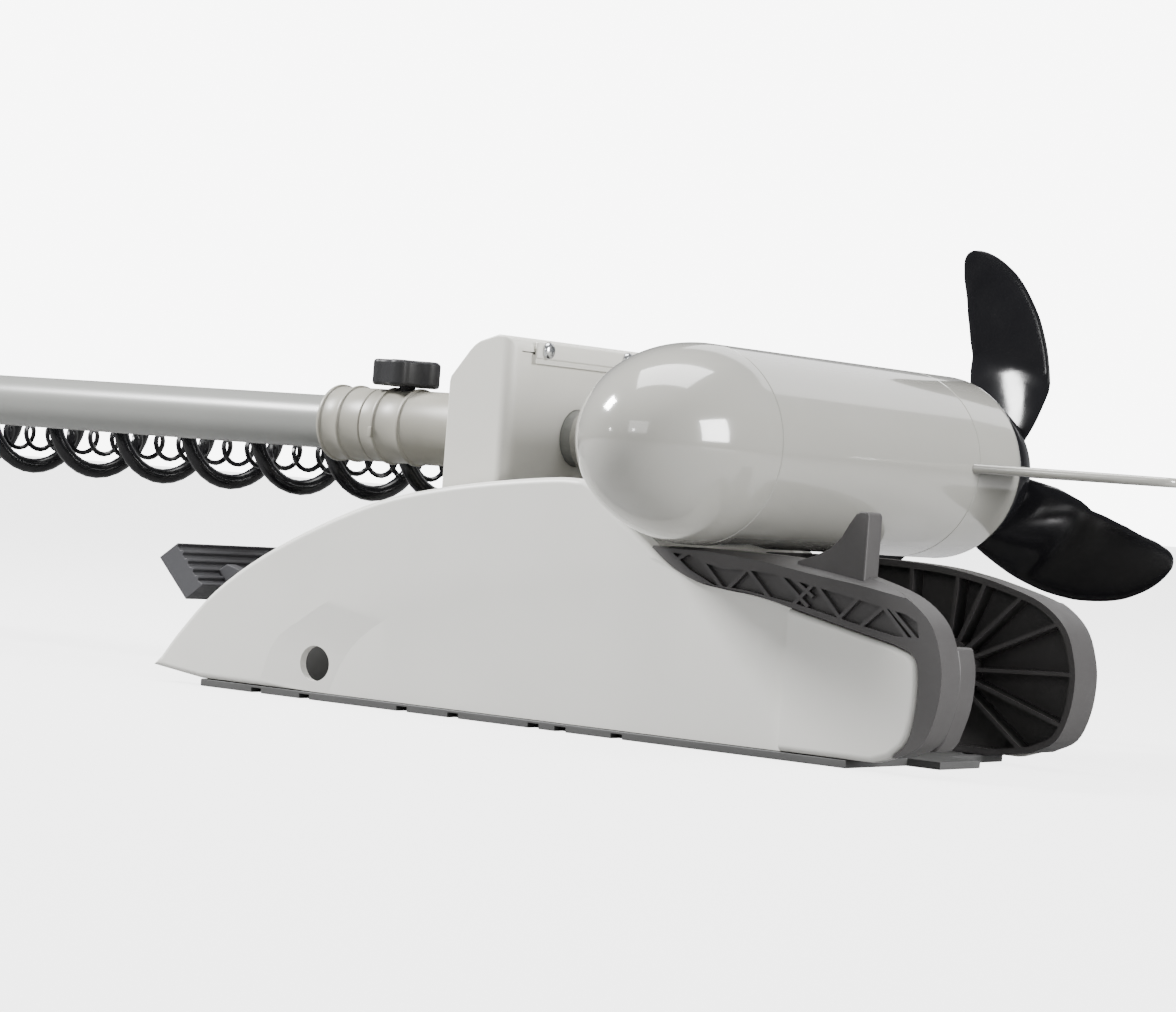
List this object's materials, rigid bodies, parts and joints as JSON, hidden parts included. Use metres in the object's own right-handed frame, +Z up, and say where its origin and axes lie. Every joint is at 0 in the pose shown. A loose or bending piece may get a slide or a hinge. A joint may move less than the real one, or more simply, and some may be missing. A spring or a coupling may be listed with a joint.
{
  "type": "bow-mount trolling motor",
  "caption": "Electric trolling motor with a swept propeller, stowed across a ramped bow mount, with link arms, steering housing, long shaft, coiled cord and foot release pedal.",
  "frame": {"origin": "on the deck plane under the motor's axis, at the mount's centreline", "axes": "+X over the bow along the shaft towards the motor, +Y along the motor towards the propeller, +Z up"},
  "size_m": [1.402, 0.38, 0.2747],
  "materials": {
    "gloss_white_paint": "gloss off-white paint",
    "cover_white_plastic": "satin white moulding",
    "housing_white_paint": "satin white paint",
    "collar_cream_plastic": "cream moulding",
    "shaft_grey": "smooth light-grey composite",
    "ramp_grey_plastic": "grey moulding",
    "black_plastic": "black moulding",
    "prop_gloss_black": "gloss black moulding",
    "cord_black": "black cord jacket",
    "pedal_grey_plastic": "dark-grey ribbed moulding",
    "stainless_steel": "bright stainless steel",
    "anodised_aluminium": "dark anodised aluminium",
    "copper_winding": "copper winding",
    "ferrite_magnet": "dark ferrite",
    "brass": "brass",
    "seal_rubber": "black rubber"
  },
  "bodies": {
    "mount_base": {"base_plate": "anodised_aluminium", "spine_channel": "anodised_aluminium", "near_ramp": "ramp_grey_plastic", "far_ramp": "ramp_grey_plastic", "bow_block": "ramp_grey_plastic", "near_side_cover": "cover_white_plastic", "far_side_cover": "cover_white_plastic", "base_pivot_pin": "stainless_steel", "pedal_pivot_pin": "stainless_steel", "latch_pivot_pin": "stainless_steel"},
    "link_arms": {"near_link_arm": "anodised_aluminium", "far_link_arm": "anodised_aluminium", "link_arm_brace": "anodised_aluminium", "base_pivot_spacer": "anodised_aluminium"},
    "steering_head": {"steering_housing": "housing_white_paint", "housing_cap": "housing_white_paint", "cap_screw_upper_near": "stainless_steel", "cap_screw_upper_far": "stainless_steel", "cap_screw_lower_near": "stainless_steel", "cap_screw_lower_far": "stainless_steel", "housing_pivot_pin": "stainless_steel", "steering_sleeve": "collar_cream_plastic", "depth_collar": "collar_cream_plastic", "steering_gear": "brass", "steering_worm": "stainless_steel", "steering_drive_motor": "anodised_aluminium", "cord_gland": "black_plastic", "coil_cord_lead": "cord_black"},
    "shaft_and_motor": {"shaft_tube": "shaft_grey", "shaft_neck": "gloss_white_paint", "motor_tube": "gloss_white_paint", "nose_cone": "gloss_white_paint", "rear_bell": "gloss_white_paint", "skeg": "gloss_white_paint", "magnet_ring": "ferrite_magnet", "front_bearing": "stainless_steel", "front_bearing_plate": "anodised_aluminium", "brush_plate": "brass", "rear_bearing": "stainless_steel", "shaft_seal": "seal_rubber", "head_lower": "black_plastic", "head_cover": "black_plastic", "control_board": "brass", "head_indicator": "shaft_grey", "coil_cord": "cord_black"},
    "rotor": {"prop_shaft": "stainless_steel", "propeller": "prop_gloss_black", "armature": "copper_winding", "commutator": "brass", "prop_nut": "stainless_steel"},
    "knob": {"clamp_knob": "black_plastic"},
    "pedal": {"release_pedal": "pedal_grey_plastic"},
    "latch": {"latch_lever": "stainless_steel"}
  },
  "joints": [
    {"name": "deploy", "type": "hinge", "parent": "mount_base", "child": "link_arms", "pos_m": [0.073, 0, 0.046], "axis": [0, 1, 0], "range_deg": [0, 150]},
    {"name": "housing_tilt", "type": "hinge", "parent": "link_arms", "child": "steering_head", "pos_m": [-0.15, 0, 0.07], "axis": [0, 1, 0], "range_deg": [-60, 0]},
    {"name": "depth_slide", "type": "slide", "parent": "steering_head", "child": "shaft_and_motor", "axis": [1, 0, 0], "range_m": [0, 0.045], "deforming": ["coil_cord"]},
    {"name": "propeller_spin", "type": "hinge", "parent": "shaft_and_motor", "child": "rotor", "pos_m": [0, 0.196, 0.15], "axis": [0, 1, 0], "continuous": true},
    {"name": "clamp_turn", "type": "hinge", "parent": "steering_head", "child": "knob", "pos_m": [-0.249, 0, 0.1698], "axis": [0, 0, 1], "range_deg": [0, 540]},
    {"name": "pedal_press", "type": "hinge", "parent": "mount_base", "child": "pedal", "pos_m": [-0.268, 0, 0.04], "axis": [0, -1, 0], "range_deg": [0, 16], "stiffness_Nm_per_rad": 1.5, "springref_deg": -20.05},
    {"name": "latch_draw", "type": "hinge", "parent": "mount_base", "child": "latch", "pos_m": [-0.205, 0, 0.028], "axis": [0, -1, 0], "range_deg": [0, 12]}
  ],
  "couplings": [
    {"joint": "housing_tilt", "follows": "deploy", "ratio": -0.4},
    {"joint": "latch_draw", "follows": "pedal_press", "ratio": 0.75}
  ]
}
